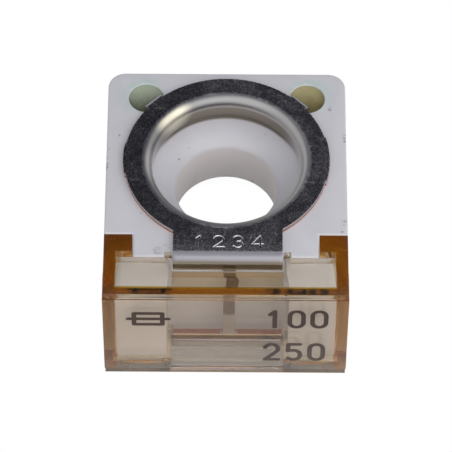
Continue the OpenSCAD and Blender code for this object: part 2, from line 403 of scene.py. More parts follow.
@dataclass(frozen=True)
class PlatedFinish(Finish):
    """Tin plating: smooth bends, pitted and scuffed flat contact faces, painted light and shade.

    Attributes:
        colour: Colour of clean tin.
        worn: Colour of the pitted contact faces.
        face_z: Height of the flat contact faces, in millimetres.
        mirror: Near-white colour of the collar on the far side, to show a painted white reflection.
        collar: Painted shade: the darker colour of the collar's bend at the rear and on the left.
        bend_painted_light: Painted light on the collar's bend, on the right and at a patch on the left.
        side_wall: Painted light: the lighter colour of the collar's wall on both sides.
        rear_wall_painted_shade: Painted shade on the collar's wall at the rear.
        tab_bend_painted_shade: Painted shade: a dark reflection half way down the tab's bend.
        tab_foot_painted_light: Painted light: a lighter reflection at the foot of the tab's bend.
        tab_bend: Colour of the upper tab's bend.
        leg: Painted shade: a dark reflection on the lower tab's leg.
        lower_bend_painted_light: Painted light: a lighter, bluish reflection on the lower tab's bend.
        glint: Colour of the collar's brightest stretch, at the rear left.
        tab_flat: Colour of the upper tab's flat part.
    """

    colour: tuple[float, float, float] = (0.44, 0.44, 0.48)
    worn: tuple[float, float, float] = (0.50, 0.48, 0.57)
    face_z: float = 5.95
    mirror: tuple[float, float, float] = (0.98, 0.98, 0.98)
    collar: tuple[float, float, float] = (0.27, 0.265, 0.27)
    bend_painted_light: tuple[float, float, float] = (0.54, 0.53, 0.53)
    side_wall: tuple[float, float, float] = (0.78, 0.76, 0.79)
    rear_wall_painted_shade: tuple[float, float, float] = (0.25, 0.22, 0.19)
    tab_bend_painted_shade: tuple[float, float, float] = (0.17, 0.14, 0.10)
    tab_foot_painted_light: tuple[float, float, float] = (0.42, 0.36, 0.27)
    tab_bend: tuple[float, float, float] = (0.245, 0.24, 0.27)
    leg: tuple[float, float, float] = (0.12, 0.12, 0.15)
    lower_bend_painted_light: tuple[float, float, float] = (0.21, 0.24, 0.35)
    glint: tuple[float, float, float] = (0.80, 0.76, 0.62)
    tab_flat: tuple[float, float, float] = (0.92, 0.89, 0.96)

    def scratches(self, graph: Graph, place: Value, angle: float, scale: float) -> Value:
        """Fine straight scratches in one direction of the plan.

        Args:
            graph: The graph to add to.
            place: The point, in millimetres.
            angle: Direction across the scratches, in radians.
            scale: Scratches per millimetre.

        Returns:
            A mask of the scratches.
        """
        turned = graph.node(
            "ShaderNodeVectorRotate", {"rotation_type": "Z_AXIS"}, {"Vector": place, "Angle": angle}
        )
        lines = graph.noise(graph.stretched(turned, (scale, 0.35, 0.4)), 1.0, 2.0, 0.6)
        return lines.ramp(0.66, 0.74)

    def shade(self, graph: Graph) -> None:
        """Fills the material's graph."""
        place = graph.place()
        across, along, height = graph.axes(place)
        radius = graph.radius(place)
        flat = abs(height).ramp(self.face_z - 0.03, self.face_z - 0.005) * along.ramp(-9.25, -8.95)
        under = height.ramp(-2.0, -2.5)
        cloud = graph.noise(place, 0.6, 4.0, 0.6)
        pits = graph.noise(place, 7.5, 4.0, 0.7)
        fine = graph.noise(place, 13.0, 3.0, 0.7)
        lines = self.scratches(graph, place, 0.35, 5.0) + self.scratches(graph, place, -0.9, 7.0)
        lines = (lines + self.scratches(graph, place, 1.7, 4.0)).at_most(1.0) * cloud.ramp(0.4, 0.6)
        worn = pits.ramp(0.40, 0.64) * flat
        base = graph.mix(cloud.ramp(0.35, 0.7) * 0.2, self.colour, (0.40, 0.39, 0.41))
        base = graph.mix(along.ramp(-8.9, -9.3) * height.ramp(0.0, 1.0), base, self.tab_bend)
        # Painted light and shade on the collar, with a painted highlight at the rear left.
        bend = graph.mix(across.ramp(-2.0, 6.0), self.collar, self.bend_painted_light)
        bend = graph.mix(graph.spot((-6.1, -0.5, 5.2), 0.6, 1.8) * 0.7, bend, self.bend_painted_light)
        wall = abs(height).ramp(5.4, 4.9)
        bend = graph.mix(wall, bend, self.side_wall)
        bend = graph.mix(wall * along.ramp(0.0, 4.0), bend, self.rear_wall_painted_shade)
        bend = graph.mix(graph.spot((-4.6, 4.6, 5.6), 0.7, 1.6), bend, self.glint)
        collar = radius.ramp(6.9, 6.7)
        base = graph.mix(collar, base, bend)
        front = along.ramp(-9.1, -9.4)
        # Painted shade half way down the tab's bend and painted light at its foot.
        base = graph.mix(front * height.ramp(5.9, 5.52), base, self.tab_bend_painted_shade)
        base = graph.mix(front * height.ramp(5.6, 5.45), base, self.tab_foot_painted_light)
        # Painted reflections on the lower tab: a dark leg and a lighter, bluish bend.
        lower = graph.mix(height.ramp(-5.1, -5.2), self.leg, self.lower_bend_painted_light)
        base = graph.mix(front * height.ramp(0.0, -1.0), base, lower)
        base = graph.mix(flat * 0.8, base, self.worn)
        base = graph.mix(worn * 0.28, base, (0.80, 0.79, 0.88))
        base = graph.mix(lines * flat * 0.6, base, (0.98, 0.97, 1.0))
        base = graph.mix(flat * cloud.ramp(0.58, 0.42) * 0.6, base, (0.20, 0.19, 0.24))
        # Painted shade: the flat contact faces darker towards the left.
        base = graph.mix(flat * across.ramp(0.0, -8.0) * 0.6, base, (0.13, 0.13, 0.17))
        base = graph.mix(flat * along.ramp(-7.9, -8.7) * 0.6, base, self.tab_flat)
        # The lower half becomes a near-white mirror that shows the floor's glowing patch as a painted reflection.
        base = graph.mix(under, base, self.mirror)
        rough = 0.16 + fine * 0.06 + worn * 0.16 + lines * flat * 0.12 + collar * 0.17
        bumps = pits * flat * 0.4 + fine * 0.2 + lines * flat * 0.35 + cloud * 0.5
        grained = graph.bump(bumps * (1.0 - under), 0.012, 0.5)
        shader = graph.node(
            "ShaderNodeBsdfPrincipled",
            None,
            {
                "Base Color": base,
                "Metallic": 1.0,
                "Roughness": rough * (1.0 - under) + under * 0.03,
                "Normal": graph.bump(along.ramp(-9.8, -8.92), 0.2, 1.0, grained),
            },
        )
        self.surface(graph, shader)


@dataclass(frozen=True)
class ShearedEdgeFinish(Finish):
    """Sheared edge of plated copper: tin dragged over the first part, then bare copper.

    Attributes:
        copper: Colour of the bare copper.
        tin: Colour of the tin dragged over the edge.
    """

    copper: tuple[float, float, float] = (0.52, 0.23, 0.15)
    tin: tuple[float, float, float] = (0.60, 0.59, 0.58)

    def shade(self, graph: Graph) -> None:
        """Fills the material's graph."""
        place = graph.place()
        _, along, height = graph.axes(place)
        ragged = graph.noise(place, 3.0, 3.0) * 0.16
        drag = (abs(height) + ragged).ramp(5.78, 5.84)
        drag = drag.at_least(graph.radius(place).ramp(8.33, 8.38) * along.ramp(-9.3, -9.1))
        dirt = graph.noise(place, 4.0, 4.0).ramp(0.5, 0.75)
        base = graph.mix(drag, self.copper, self.tin)
        base = graph.mix(dirt * 0.45, base, (0.14, 0.08, 0.06))
        shader = graph.node(
            "ShaderNodeBsdfPrincipled",
            None,
            {"Base Color": base, "Metallic": 1.0, "Roughness": 0.36 + dirt * 0.2},
        )
        self.surface(graph, shader)


@dataclass(frozen=True)
class LinkFinish(Finish):
    """The link: brown copper above, tin-wetted below.

    Attributes:
        bare: Colour of the brown upper part.
        wetted: Colour of the tinned foot.
        foot_top: Height where the tinned foot starts, in millimetres.
    """

    bare: tuple[float, float, float] = (0.20, 0.145, 0.12)
    wetted: tuple[float, float, float] = (0.50, 0.49, 0.49)
    foot_top: float = -0.45

    def shade(self, graph: Graph) -> None:
        """Fills the material's graph."""
        place = graph.place()
        _, _, height = graph.axes(place)
        ragged = graph.noise(place, 2.5, 3.0) * 0.5
        foot = (height + ragged).ramp(self.foot_top + 0.45, self.foot_top + 0.1)
        streak = graph.noise(graph.stretched(place, (14.0, 14.0, 1.4)), 1.0, 3.0)
        base = graph.mix(streak.ramp(0.35, 0.7) * 0.6, self.bare, (0.34, 0.28, 0.26))
        base = graph.mix(foot, base, self.wetted)
        shader = graph.node(
            "ShaderNodeBsdfPrincipled",
            None,
            {
                "Base Color": base,
                "Metallic": 0.55 + foot * 0.2,
                "Roughness": 0.45,
                "Normal": graph.bump(streak, 0.03, 0.6),
            },
        )
        self.surface(graph, shader)


@dataclass(frozen=True)
class AmberFinish(Finish):
    """Clear amber plastic coloured by the depth of it that light crosses, and by painted shade in its tint.

    Attributes:
        index: Refractive index of the plastic.
        absorption: Colour that the plastic keeps of white light.
        density: Strength of the absorption, per metre.
        deep: Painted shade: deep orange on the faces over the full height of the walls and hooks.
        ahead: Painted shade: a darker tint on the front panel.
        corner: Painted shade: deep orange on the front panel before the side walls.
        before_tab_painted_shade: Painted shade on the front panel before the lower tab.
        before_bend_painted_shade: Painted shade on the front panel before that tab's bend.
        edge_painted_shadow: Painted shadow: a dark line on the front panel before that tab's edge.
        low: Painted shade on the lower part of the front panel.
        foot: Painted shade on the plain band below the panel.
        above: Painted shade: a deeper orange on the upper plate before the notch.
        matt: Colour of the matt walls of the notches.
        link_shade: Painted shade in the link's shape on such a wall, as if the link showed through.
        side: Height and half width at which those faces start, in millimetres.
        front: Distance from the stud axis at which the front wall's ends start.
        frosted: Corners of the box round the matt walls of the notches.
        plate_edge: Corners of the box round the matt rear edges of the plates.
    """

    index: float = 1.6
    absorption: tuple[float, float, float] = (0.833, 0.653, 0.30)
    density: float = 150.0
    deep: tuple[float, float, float] = (0.38, 0.16, 0.002)
    ahead: tuple[float, float, float] = (0.70, 0.59, 0.51)
    corner: tuple[float, float, float] = (0.45, 0.18, 0.037)
    before_tab_painted_shade: tuple[float, float, float] = (0.20, 0.165, 0.163)
    before_bend_painted_shade: tuple[float, float, float] = (0.34, 0.34, 0.42)
    edge_painted_shadow: tuple[float, float, float] = (0.08, 0.065, 0.075)
    low: tuple[float, float, float] = (0.29, 0.30, 0.41)
    foot: tuple[float, float, float] = (0.125, 0.082, 0.06)
    above: tuple[float, float, float] = (0.66, 0.50, 0.32)
    matt: tuple[float, float, float] = (0.40, 0.36, 0.33)
    link_shade: tuple[float, float, float] = (0.10, 0.065, 0.045)
    side: tuple[float, float] = (5.44, 8.72)
    front: float = 12.15
    frosted: tuple[tuple[float, float, float], tuple[float, float, float]] = (
        (-4.4, -10.73, 3.9),
        (4.7, -10.66, 5.6),
    )
    plate_edge: tuple[tuple[float, float, float], tuple[float, float, float]] = (
        (-8.7, -9.38, 3.9),
        (8.7, -9.32, 5.6),
    )

    def shade(self, graph: Graph) -> None:
        """Fills the material's graph."""
        place = graph.place()
        across, along, height = graph.axes(place)
        wave = graph.noise(place, 0.9, 2.0, 0.5)
        haze = graph.noise(place, 5.0, 4.0, 0.7)
        scuff = graph.noise(graph.stretched(place, (2.0, 2.0, 9.0)), 1.0, 3.0, 0.6).ramp(0.66, 0.76)
        end_z, wall_x = self.side
        ends = abs(height).ramp(end_z - 0.02, end_z)
        walls = abs(across).ramp(wall_x - 0.05, wall_x + 0.05)
        hooks = along.ramp(-8.80, -8.74) * abs(across).ramp(7.3, 7.4)
        lip = along.ramp(-self.front + 0.05, -self.front - 0.05)
        deep = ends * walls.at_least(hooks).at_least(lip)
        # Painted shade: the front panel's tint is darker.
        ahead = along.ramp(-12.85, -12.88) * (1.0 - ends)
        tint = graph.mix(ahead, (1.0, 1.0, 1.0), self.ahead)
        window = ahead * abs(across - 0.15).ramp(4.65, 4.3)
        # Painted shade before the lower tab, its bend and edge, on the low part, the ends and the band below.
        tint = graph.mix(window * height.ramp(-0.1, -0.3), tint, self.before_tab_painted_shade)
        tint = graph.mix(window * height.ramp(-1.55, -1.75), tint, self.before_bend_painted_shade)
        line = window * height.ramp(0.0, -0.06) * height.ramp(-0.5, -0.4)
        tint = graph.mix(line, tint, self.edge_painted_shadow)
        tint = graph.mix(ahead * height.ramp(-3.9, -4.2), tint, self.low)
        tint = graph.mix(ahead * abs(across).ramp(8.6, 8.8), tint, self.corner)
        tint = graph.mix(ahead * height.ramp(-4.8, -4.84), tint, self.foot)
        # Painted shade: a deeper orange on the upper plate before the notch.
        tint = graph.mix(graph.box_mask((-4.2, -12.07, 5.4), (4.5, -10.75, 5.6), 0.08), tint, self.above)
        # Painted shade: deep orange on the faces over the full height of the walls and hooks.
        tint = graph.mix(deep, tint, self.deep)
        frost = graph.box_mask(*self.frosted, 0.01)
        glass = graph.node(
            "ShaderNodeBsdfPrincipled",
            None,
            {
                "Base Color": tint,
                "Roughness": 0.015 + scuff * 0.08 + haze * 0.015 + deep * 0.2,
                "IOR": self.index,
                "Transmission Weight": 1.0,
                "Normal": graph.bump(wave, 0.02, 0.08),
            },
        )
        # Painted shade in the link's shape on the matt walls of the notches.
        seen_link = abs(across - 0.3).ramp(0.56, 0.44) * height.ramp(5.25, 5.0)
        matt = graph.node(
            "ShaderNodeBsdfPrincipled",
            None,
            {"Base Color": graph.mix(seen_link, self.matt, self.link_shade), "Roughness": 0.6},
        )
        edge = graph.box_mask(*self.plate_edge, 0.01) * abs(across - 0.15).ramp(4.9, 4.95)
        glass = graph.node(
            "ShaderNodeMixShader", None, {0: (frost * 0.85).at_least(edge * 0.4), 1: glass, 2: matt}
        )
        clear = graph.node("ShaderNodeBsdfTransparent", None, {"Color": (1.0, 1.0, 1.0, 1.0)})
        path = graph.tree.nodes.new("ShaderNodeLightPath")
        shadow = Value(graph, path.outputs["Is Shadow Ray"])
        diffuse = Value(graph, path.outputs["Is Diffuse Ray"])
        mixed = graph.node("ShaderNodeMixShader", None, {0: shadow.at_least(diffuse), 1: glass, 2: clear})
        out = self.surface(graph, mixed)
        volume = graph.node(
            "ShaderNodeVolumeAbsorption", None, {"Color": (*self.absorption, 1.0), "Density": self.density}
        )
        graph.tree.links.new(volume.socket, out.inputs["Volume"])


@dataclass(frozen=True)
class InkFinish(Finish):
    """Brown marking burnt into the plastic, with a grainy edge.

    Attributes:
        colour: Colour of the mark.
    """

    colour: tuple[float, float, float] = (0.034, 0.008, 0.001)

    def shade(self, graph: Graph) -> None:
        """Fills the material's graph."""
        grain = graph.noise(graph.place(), 9.0, 3.0, 0.7)
        base = graph.mix(grain.ramp(0.45, 0.75) * 0.8, self.colour, (0.09, 0.028, 0.006))
        shader = graph.node(
            "ShaderNodeBsdfPrincipled",
            None,
            {"Base Color": base, "Roughness": 0.7 + grain * 0.2, "Specular IOR Level": 0.1},
        )
        self.surface(graph, shader)


@dataclass(frozen=True)
class CementFinish(Finish):
    """Stained cement in the ear pockets, with painted light and shade across each dish.

    Attributes:
        pale: Colour of the rear part, lighter as painted light.
        stain: Colour of the front part, darker as painted shade below the near rim.
    """

    pale: tuple[float, float, float] = (0.42, 0.42, 0.22)
    stain: tuple[float, float, float] = (0.16, 0.20, 0.10)

    def shade(self, graph: Graph) -> None:
        """Fills the material's graph."""
        place = graph.place()
        _, along, _ = graph.axes(place)
        cloud = graph.noise(place, 1.3, 4.0, 0.6)
        grain = graph.noise(place, 10.0, 4.0, 0.7)
        # Painted light and shade: lighter at the rear of the dish, darker at the front.
        base = graph.mix((along + (cloud - 0.5) * 1.6).ramp(7.7, 5.5), self.pale, self.stain)
        base = graph.mix(grain.ramp(0.58, 0.72) * 0.55, base, (0.06, 0.055, 0.035))
        shader = graph.node(
            "ShaderNodeBsdfPrincipled",
            None,
            {
                "Base Color": base,
                "Roughness": 0.5 + grain * 0.3,
                "Normal": graph.bump(grain * 0.6 + cloud * 1.4, 0.06, 0.8),
            },
        )
        self.surface(graph, shader)


CERAMIC = CeramicFinish("fired_ceramic")
PLATED = PlatedFinish("tin_plating")
SHEARED = ShearedEdgeFinish("sheared_copper")
LINK_METAL = LinkFinish("link_metal")
AMBER = AmberFinish("moulded_amber")
INK = InkFinish("burnt_marking")
# Each cement's colours: a lighter rear and a darker front, as painted light and shade.
LEFT_CEMENT = CementFinish("left_cement", (0.31, 0.35, 0.27), (0.10, 0.108, 0.066))
RIGHT_CEMENT = CementFinish("right_cement", (0.34, 0.30, 0.15), (0.16, 0.125, 0.04))


class Shape:
    """A solid under construction, in millimetres."""

    def __init__(self, name: str) -> None:
        """Starts with an empty mesh of that name."""
        self.mesh = bpy.data.meshes.new(name)
        self.object = bpy.data.objects.new(name, self.mesh)
        bpy.context.scene.collection.objects.link(self.object)

    @classmethod
    def of(cls, name: str, draw: Callable[[bmesh.types.BMesh], None]) -> "Shape":
        """Makes a shape from a function that draws its faces.

        Args:
            name: The shape's name.
            draw: Adds vertices and faces to a bmesh.

        Returns:
            The shape, with its faces turned outwards.
        """
        shape = cls(name)
        bm = bmesh.new()
        draw(bm)
        bmesh.ops.remove_doubles(bm, verts=bm.verts, dist=1e-5)
        bmesh.ops.recalc_face_normals(bm, faces=bm.faces)
        bm.to_mesh(shape.mesh)
        bm.free()
        return shape

    @classmethod
    def block(cls, low: Sequence[float], high: Sequence[float], bevel: float = 0.0) -> "Shape":
        """A box between two corners, with its edges rounded by a bevel."""
        centre = (Vector(low) + Vector(high)) / 2
        span = Vector(high) - Vector(low)

        def draw(bm: bmesh.types.BMesh) -> None:
            """Adds the box."""
            matrix = Matrix.Translation(centre) @ Matrix.Diagonal((*span, 1.0))
            bmesh.ops.create_cube(bm, size=1.0, matrix=matrix)

        shape = cls.of("block", draw)
        if bevel:
            shape.bevel(bevel)
        return shape

    @classmethod
    def prism(cls, outline: Sequence[Point], low: float, high: float, axis: str = "Z") -> "Shape":
        """An outline drawn out along an axis.

        Args:
            outline: Corners of the outline, in order.
            low: Start along the axis.
            high: End along the axis.
            axis: "Z" for a plan in X and Y, or "Y" for a front view in X and Z.

        Returns:
            The closed solid.
        """

        def corner(point: Point, level: float) -> Vector:
            """Where a corner of the outline lies at one end."""
            return Vector((*point, level)) if axis == "Z" else Vector((point[0], level, point[1]))

        def draw(bm: bmesh.types.BMesh) -> None:
            """Adds the two ends and the walls between them."""
            ends = [[bm.verts.new(corner(p, level)) for p in outline] for level in (low, high)]
            bm.faces.new(ends[0])
            bm.faces.new(ends[1])
            for i in range(len(outline)):
                j = (i + 1) % len(outline)
                bm.faces.new((ends[0][i], ends[0][j], ends[1][j], ends[1][i]))

        return cls.of("prism", draw)

    @classmethod
    def turned(cls, section: Sequence[Point], steps: int, centre: Point = (0.0, 0.0)) -> "Shape":
        """A closed section of radius and height, turned round a vertical axis.

        Args:
            section: Corners of the section as radius and height.
            steps: Number of steps round the axis.
            centre: Where the axis stands.

        Returns:
            The closed solid.
        """

        def draw(bm: bmesh.types.BMesh) -> None:
            """Adds the rings of vertices and the faces between them."""
            rings = []
            for i in range(steps):
                angle = math.tau * i / steps
                rings.append(
                    [
                        bm.verts.new(
                            (centre[0] + r * math.cos(angle), centre[1] + r * math.sin(angle), z)
                        )
                        for r, z in section
                    ]
                )
            count = len(section)
            for i in range(steps):
                for k in range(count):
                    if section[k][0] == 0 and section[(k + 1) % count][0] == 0:
                        continue
                    quad = (
                        rings[i][k],
                        rings[(i + 1) % steps][k],
                        rings[(i + 1) % steps][(k + 1) % count],
                        rings[i][(k + 1) % count],
                    )
                    bm.faces.new(quad)
            bmesh.ops.remove_doubles(bm, verts=bm.verts, dist=1e-6)
            bmesh.ops.dissolve_degenerate(bm, dist=1e-6, edges=bm.edges)

        return cls.of("turned", draw)

    def combine(self, other: "Shape", operation: str, tangled: bool = False) -> "Shape":
        """Joins another shape to this one, or cuts it away, and uses it up.

        Args:
            other: The other shape.
            operation: "UNION" or "DIFFERENCE".
            tangled: Whether the other shape's parts run through each other.

        Returns:
            This shape.
        """
        change = self.object.modifiers.new("combine", "BOOLEAN")
        change.operation = operation
        change.solver = "EXACT"
        change.object = other.object
        change.use_self = tangled
        self.apply()
        other.discard()
        return self

    def add(self, other: "Shape") -> "Shape":
        """Joins another solid to this one."""
        return self.combine(other, "UNION")

    def cut(self, other: "Shape", tangled: bool = False) -> "Shape":
        """Cuts another solid away from this one."""
        return self.combine(other, "DIFFERENCE", tangled)

    def bevel(self, width: float, segments: int = 3, angle: float = 32.0) -> "Shape":
        """Rounds the edges that turn by more than an angle in degrees."""
        change = self.object.modifiers.new("bevel", "BEVEL")
        change.width = width
        change.segments = segments
        change.limit_method = "ANGLE"
        change.angle_limit = math.radians(angle)
        change.use_clamp_overlap = True
        change.harden_normals = False
        self.apply()
        return self

    def apply(self) -> None:
        """Turns the shape's modifiers into its mesh."""
        graph = bpy.context.evaluated_depsgraph_get()
        made = bpy.data.meshes.new_from_object(self.object.evaluated_get(graph))
        self.object.modifiers.clear()
        old = self.object.data
        self.object.data = self.mesh = made
        bpy.data.meshes.remove(old)

    def discard(self) -> None:
        """Removes the shape and its mesh."""
        mesh = self.object.data
        bpy.data.objects.remove(self.object)
        bpy.data.meshes.remove(mesh)

    def finish(
        self,
        name: str,
        finishes: Sequence[Finish],
        slot: str,
        stands_for: Iterable[str] = (),
        smooth: float = 35.0,
    ) -> bpy.types.Object:
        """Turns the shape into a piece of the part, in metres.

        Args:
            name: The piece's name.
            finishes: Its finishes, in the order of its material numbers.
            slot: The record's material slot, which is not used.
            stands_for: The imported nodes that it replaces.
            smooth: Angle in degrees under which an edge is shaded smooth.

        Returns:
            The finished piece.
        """
        mesh = self.object.data
        mesh.transform(Matrix.Scale(MM, 4))
        mesh.name = name
        self.object.name = name
        for number, finish in enumerate(finishes):
            if number < len(mesh.materials):
                mesh.materials[number] = finish.material()
            else:
                mesh.materials.append(finish.material())
        mesh.shade_smooth()
        mesh.set_sharp_from_angle(angle=math.radians(smooth))
        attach(self.object, BODY)
        if stands_for:
            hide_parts(*stands_for)
        LOG.info("%s: %d faces", name, len(mesh.polygons))
        return self.object


def arc(centre: Point, radius: float, start: float, end: float, steps: int) -> list[Point]:
    """Points along an arc.

    Args:
        centre: The arc's centre.
        radius: Its radius.
        start: First angle, in degrees.
        end: Last angle, in degrees.
        steps: Number of steps between them.

    Returns:
        The points, both ends included.
    """
    angles = [math.radians(start + (end - start) * i / steps) for i in range(steps + 1)]
    return [(centre[0] + radius * math.cos(a), centre[1] + radius * math.sin(a)) for a in angles]


def straight(start: Point, end: Point, steps: int) -> list[Point]:
    """Points along a line, both ends included."""
    return [
        (start[0] + (end[0] - start[0]) * i / steps, start[1] + (end[1] - start[1]) * i / steps)
        for i in range(steps + 1)
    ]


def rounded(low: Point, high: Point, radius: float, steps: int = 6) -> list[Point]:
    """The outline of a rectangle with rounded corners."""
    x0, y0, x1, y1 = low[0] + radius, low[1] + radius, high[0] - radius, high[1] - radius
    return (
        arc((x1, y0), radius, -90, 0, steps)
        + arc((x1, y1), radius, 0, 90, steps)
        + arc((x0, y1), radius, 90, 180, steps)
        + arc((x0, y0), radius, 180, 270, steps)
    )


@dataclass
class PartSizes:
    """Sizes that several pieces share, in millimetres, as the construction gives them."""

    half_w: float = 9.65
    half_h: float = 5.5
    rear: float = 9.1
    deck: float = 9.3
    cover: float = 13.0
    front_wall: float = 1.36
    side_wall: float = 0.95
    plate: float = 1.5
    hook_gap: float = 0.6
    hook_in: float = 1.3
    hook_t: float = 1.6
    plate_gap: float = 0.05
    gap: float = 0.08
    tab_x: float = 0.15
    notch_half: float = 4.43
    notch_front: float = 10.69
    lug_w: float = 0.5
    lug_len: float = 0.5
    pocket_reach: float = 9.25
    pocket_r: float = 1.4
    pocket_depth: float = 1.7

    @property
    def wall_in(self) -> float:
        """Distance from the middle to the inner face of a side wall."""
        return self.half_w - self.side_wall

    @property
    def cover_back(self) -> float:
        """Distance from the stud axis to the ends of the side walls."""
        return self.hook_front - self.hook_t

    @property
    def hook_front(self) -> float:
        """Distance from the stud axis to the fronts of the hooks."""
        return self.plate_back - self.hook_gap

    @property
    def hook_tip(self) -> float:
        """Distance from the middle to the hooks' tips."""
        return self.wall_in - self.hook_in

    @property
    def plate_back(self) -> float:
        """Distance from the stud axis to the rear edges of the plates."""
        return self.deck + self.plate_gap

    @property
    def plate_in(self) -> float:
        """Height of the plates' inner faces."""
        return self.half_h - self.plate


@dataclass
class CeramicBody:
    """The fired ceramic block.

    Attributes:
        sizes: The shared sizes.
        corner_r: Radius of the rear corners.
        edge_r: Radius of the outer edges.
        bore_r: Radius of the stud bore.
        bore_half: Half the length of the bore's straight wall.
        seat_r: Radius of the seat round each collar.
        cone_rise: Rise of the cone per millimetre of radius.
        chamber_half: Half the width of the chamber.
        chamber_back: Distance from the stud axis to the chamber's rear wall.
        pillar_r: Radius of the pillars' corners.
    """

    sizes: PartSizes
    corner_r: float = 1.4
    edge_r: float = 0.16
    bore_r: float = 4.1
    bore_half: float = 2.025
    seat_r: float = 6.9
    cone_rise: float = 0.7306
    chamber_half: float = 4.78
    chamber_back: float = 8.2
    pillar_r: float = 0.5

    def outline(self) -> list[Point]:
        """Plan of the full-height block, from the left groove round by the rear."""
        s = self.sizes
        groove = s.hook_tip - s.gap
        back = s.cover_back - s.gap
        r = self.corner_r
        return (
            [(-groove, -s.deck), (groove, -s.deck), (groove, -back), (s.half_w, -back)]
            + arc((s.half_w - r, s.rear - r), r, 0, 90, 10)
            + arc((-s.half_w + r, s.rear - r), r, 90, 180, 10)
            + [(-s.half_w, -back), (-groove, -back)]
        )

    def bore_section(self) -> list[Point]:
        """Section of the stud hole, with its lips rounded."""
        top = self.sizes.half_h + 1.0
        foot = self.bore_half + (self.seat_r - self.bore_r) * self.cone_rise
        lip = 0.16
        upper = [
            (self.bore_r, self.bore_half - lip),
            (self.bore_r + 0.03, self.bore_half - 0.05),
            (self.bore_r + 0.12, self.bore_half + 0.07),
            (self.bore_r + lip + 0.1, self.bore_half + (lip + 0.1) * self.cone_rise),
            (self.seat_r - 0.3, foot - 0.3 * self.cone_rise),
            (self.seat_r - 0.06, foot + 0.02),
            (self.seat_r, foot + 0.25),
            (self.seat_r, top),
        ]
        lower = [(r, -z) for r, z in reversed(upper)]
        return lower + upper + [(0.0, top), (0.0, -top)]

    def pillar(self, side: Side) -> Shape:
        """One pillar that frames the chamber."""
        s = self.sizes
        out = s.wall_in - s.gap
        height = s.plate_in - s.gap
        low, high = sorted((side.value * (self.chamber_half - 0.6), side.value * out))
        outline = rounded((low, -height), (high, height), self.pillar_r)
        shape = Shape.prism(outline, -(s.cover - s.front_wall - s.gap), -(s.hook_front + s.gap), "Y")
        return shape.bevel(0.1, 3, 50.0)

    def build(self) -> bpy.types.Object:
        """Builds the block and returns its piece."""
        s = self.sizes
        block = Shape.prism(self.outline(), -s.half_h, s.half_h).bevel(self.edge_r, 3, 50.0)
        for side in Side:
            block.add(self.pillar(side))
        chamber = Shape.block(
            (s.tab_x - self.chamber_half, -s.cover, -s.plate_in),
            (s.tab_x + self.chamber_half, -self.chamber_back, s.plate_in),
            0.2,
        )
        block.cut(chamber)
        block.cut(Shape.turned(self.bore_section(), 160))
        for face in Face:
            for side in Side:
                block.cut(self.pocket(face, side))
                block.cut(self.lug_slot(face, side))
        return block.finish("ceramic_block", [CERAMIC], "ceramic", ["ceramic_body"])

    def pocket(self, face: Face, side: Side) -> Shape:
        """The cutter of one rear pocket, flared at its mouth."""
        s = self.sizes
        reach = s.pocket_reach / math.sqrt(2)
        foot = s.half_h - s.pocket_depth
        section = [
            (0.0, foot),
            (s.pocket_r, foot),
            (s.pocket_r, s.half_h - 0.12),
            (s.pocket_r + 0.03, s.half_h - 0.05),
            (s.pocket_r + 0.12, s.half_h + 0.02),
            (s.pocket_r + 0.12, s.half_h + 1.0),
            (0.0, s.half_h + 1.0),
        ]
        turned = [(r, face.value * z) for r, z in section]
        return Shape.turned(turned, 48, (side.value * reach, reach))

    def lug_slot(self, face: Face, side: Side) -> Shape:
        """The cutter of one slot for the cover's guide lugs."""
        s = self.sizes
        near, far = s.notch_half - s.gap, s.notch_half + s.lug_w + s.gap
        x0, x1 = sorted((s.tab_x + side.value * near, s.tab_x + side.value * far))
        z0, z1 = sorted((face.value * (s.plate_in - s.gap), face.value * (s.half_h + 1)))
        return Shape.block((x0, -s.deck - 1, z0), (x1, -(s.plate_back - s.lug_len - s.gap), z1))


